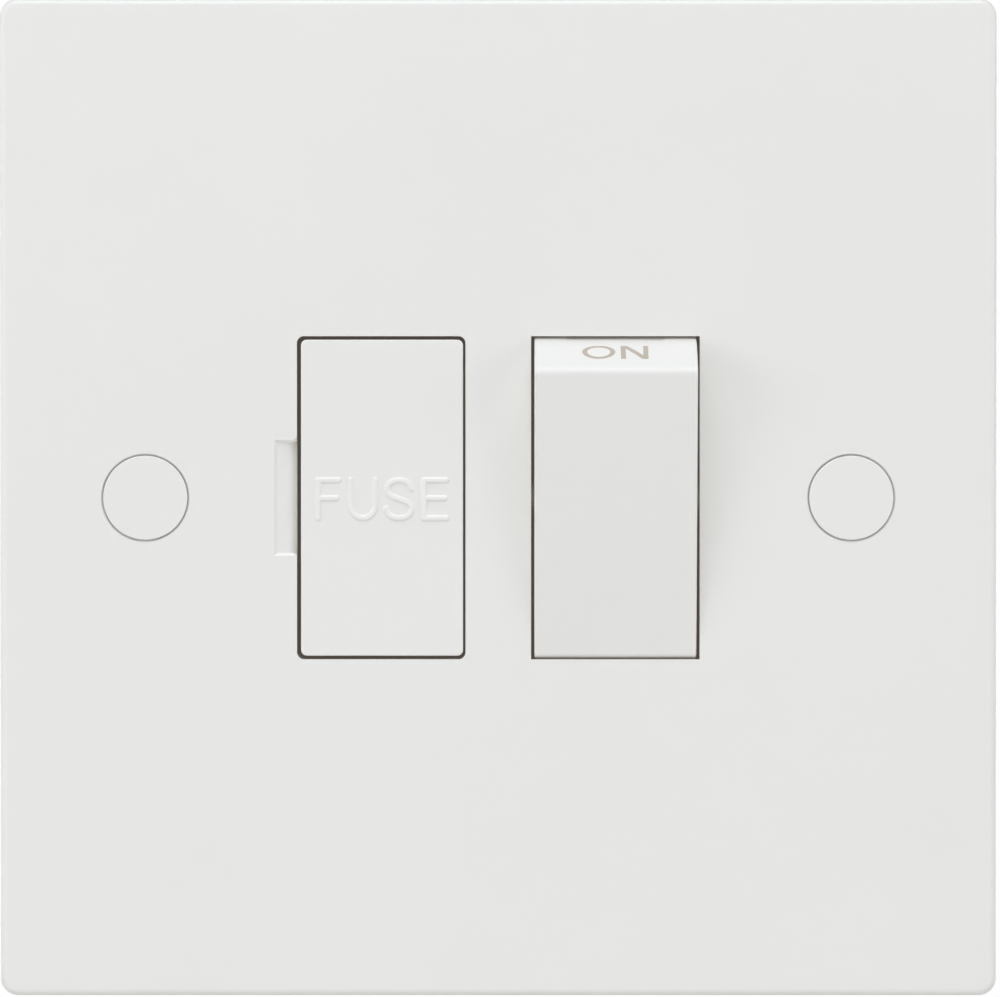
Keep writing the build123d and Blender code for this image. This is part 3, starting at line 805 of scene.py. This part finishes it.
@dataclass
class SwitchAction:
    """The rocker, what it pushes and the contacts that it closes."""

    poles: tuple[str, ...] = ("live", "neutral")
    word: PrintedWord = field(default_factory=PrintedWord)

    def each(self, *pieces: str) -> list[str]:
        """Return the names of the pieces that each pole has one of."""
        return [f"{pole}_{piece}" for pole in self.poles for piece in pieces]

    def build(self) -> None:
        """Dress the rocker, the plungers with their springs, the bars and the contacts."""
        dress(ROCKER, "rocker")
        dress(NYLON, *self.each("plunger"))
        dress(SPRING_STEEL, *self.each("spring"))
        dress(BRONZE_SPRING, *self.each("contact_bar"))
        dress(SILVER_BUTTON, "fixed_contacts", *self.each("moving_contact"))
        dress(BRASS_STRIP, *self.each("pivot_bracket", "contact_strip"))
        self.word.build()


@dataclass
class FuseHolder:
    """The carrier that slides out, the fuse in it and the clips behind it."""

    word: RaisedWord = field(default_factory=RaisedWord)

    def build(self) -> None:
        """Dress the carrier, the fuse and the clips, and raise the word."""
        dress(CARRIER, "fuse_carrier")
        dress(CERAMIC, "fuse_barrel")
        dress(NICKEL_CAP, "fuse_cap_upper", "fuse_cap_lower")
        dress(BRONZE_SPRING, "upper_fuse_clip", "lower_fuse_clip")
        self.word.build()


@dataclass
class Terminals:
    """The six terminal blocks, their clamp screws and the strips between them."""

    places: tuple[str, ...] = ("supply_live", "supply_neutral", "load_live", "load_neutral",
                               "earth_left", "earth_right")

    def build(self) -> None:
        """Dress the brass and the screws."""
        dress(BRASS_BLOCK, *[f"terminal_{place}" for place in self.places])
        dress(ZINC_STEEL, *[f"terminal_screw_{place}" for place in self.places])
        dress(BRASS_STRIP, "load_live_strip", "earth_bridge")


@dataclass(frozen=True)
class Lamp:
    """One square softbox, aimed at the middle of the plate."""

    name: str
    place: tuple[float, float, float]
    size: float
    power: float
    colour: Colour = (0.927, 0.963, 1.0)

    def hang(self) -> None:
        """Add the lamp to the scene."""
        data = bpy.data.lights.new(self.name, "AREA")
        data.size = self.size
        data.energy = self.power
        data.color = self.colour
        lamp = bpy.data.objects.new(self.name, data)
        lamp.location = self.place
        lamp.rotation_euler = (-Vector(self.place)).to_track_quat("-Z", "Y").to_euler()
        bpy.context.scene.collection.objects.link(lamp)


@dataclass
class Studio:
    """A pale floor, softboxes in front and behind, a faint surround and the camera."""

    floor_side: float = 0.9
    floor_front: float = -0.9
    floor_back: float = 0.4
    floor_drop: float = 40 * MM
    floor_tones: tuple[Colour, Colour] = ((0.822, 0.800, 0.768), (0.853, 0.830, 0.797))
    floor_cloud: float = 60 * MM
    floor_layers: float = 3.0
    floor_roughness: float = 0.7
    surround: float = 0.097
    surround_colour: Colour = (0.927, 0.975, 1.0)
    backdrop: Colour = (1.0, 1.0, 1.0)
    lamps: tuple[Lamp, ...] = (
        Lamp("top_box", (0.0, -0.45, 0.85), 0.9, 7.15),
        Lamp("left_box", (-0.90, -0.45, 0.05), 0.8, 4.05),
        Lamp("left_front_box", (-0.65, -0.80, 0.15), 0.8, 1.65),
        Lamp("right_box", (0.90, -0.50, 0.05), 0.8, 4.2),
        Lamp("front_box", (0.0, -1.30, 0.10), 0.9, 1.05),
        Lamp("rear_left_box", (-0.80, 0.85, 0.12), 0.8, 5.0),
        Lamp("rear_right_box", (0.80, 0.85, 0.12), 0.8, 5.0),
    )
    darkest: Colour = (-0.075, -0.060, -0.046)
    camera_distance: float = 600 * MM
    camera_shift: tuple[float, float] = (0.145 * MM, -0.06 * MM)
    camera_rise: float = 11 * MM
    sensor: float = 36.0
    lens: float = 253.0

    def build(self) -> None:
        """Set up the floor, the light, the camera and how light turns into colour."""
        self.floor()
        self.sky()
        for lamp in self.lamps:
            lamp.hang()
        self.camera()
        self.exposure()

    def exposure(self) -> None:
        """Lift the deepest shadows to a warm grey, as the photograph has them."""
        view = bpy.context.scene.view_settings
        view.view_transform = "Standard"
        view.use_curve_mapping = True
        view.curve_mapping.black_level = self.darkest

    def floor(self) -> None:
        """Lay the floor a little under the plate, which hangs as it does on a wall."""
        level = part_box("front_plate")[0].z - self.floor_drop
        side, front, back = self.floor_side, self.floor_front, self.floor_back
        corners = [(-side, front), (side, front), (side, back), (-side, back)]
        mesh = bmesh.new()
        mesh.faces.new([mesh.verts.new((x, y, level)) for x, y in corners])
        data = bpy.data.meshes.new("floor")
        mesh.to_mesh(data)
        mesh.free()
        graph = Graph("floor_matt")
        tone = graph.mix(graph.noise(self.floor_cloud, self.floor_layers), *self.floor_tones)
        matt = graph.surface({"Base Color": tone, "Roughness": self.floor_roughness})
        data.materials.append(matt)
        floor = bpy.data.objects.new("floor", data)
        bpy.context.scene.collection.objects.link(floor)

    def sky(self) -> None:
        """Light the scene faintly from all round, and show plain white behind the object."""
        world = bpy.data.worlds.new("surround")
        world.use_nodes = True
        nodes, links = world.node_tree.nodes, world.node_tree.links
        nodes.clear()
        path = nodes.new("ShaderNodeLightPath")
        light, shown = nodes.new("ShaderNodeBackground"), nodes.new("ShaderNodeBackground")
        light.inputs["Strength"].default_value = self.surround
        light.inputs["Color"].default_value = (*self.surround_colour, 1.0)
        shown.inputs["Color"].default_value = (*self.backdrop, 1.0)
        choice, output = nodes.new("ShaderNodeMixShader"), nodes.new("ShaderNodeOutputWorld")
        links.new(path.outputs["Is Camera Ray"], choice.inputs[0])
        links.new(light.outputs[0], choice.inputs[1])
        links.new(shown.outputs[0], choice.inputs[2])
        links.new(choice.outputs[0], output.inputs[0])
        bpy.context.scene.world = world

    def camera(self) -> None:
        """Stand the camera in front of the plate, a little high, looking at its middle."""
        data = bpy.data.cameras.new("front_camera")
        data.sensor_width = self.sensor
        data.lens = self.lens
        camera = bpy.data.objects.new("front_camera", data)
        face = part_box("front_plate")[0].y
        across, up = self.camera_shift
        camera.location = (across, face - self.camera_distance, self.camera_rise + up)
        pitch = atan2(self.camera_rise, self.camera_distance)
        camera.rotation_euler = (pi / 2 - pitch, 0.0, 0.0)
        bpy.context.scene.collection.objects.link(camera)
        bpy.context.scene.camera = camera


def main() -> None:
    """Build and dress each sub-assembly."""
    logging.basicConfig(level=logging.INFO, format="%(message)s")
    for part in (Enclosure(), SwitchAction(), FuseHolder(), Terminals(), Studio()):
        part.build()


if __name__ == "__main__":
    main()
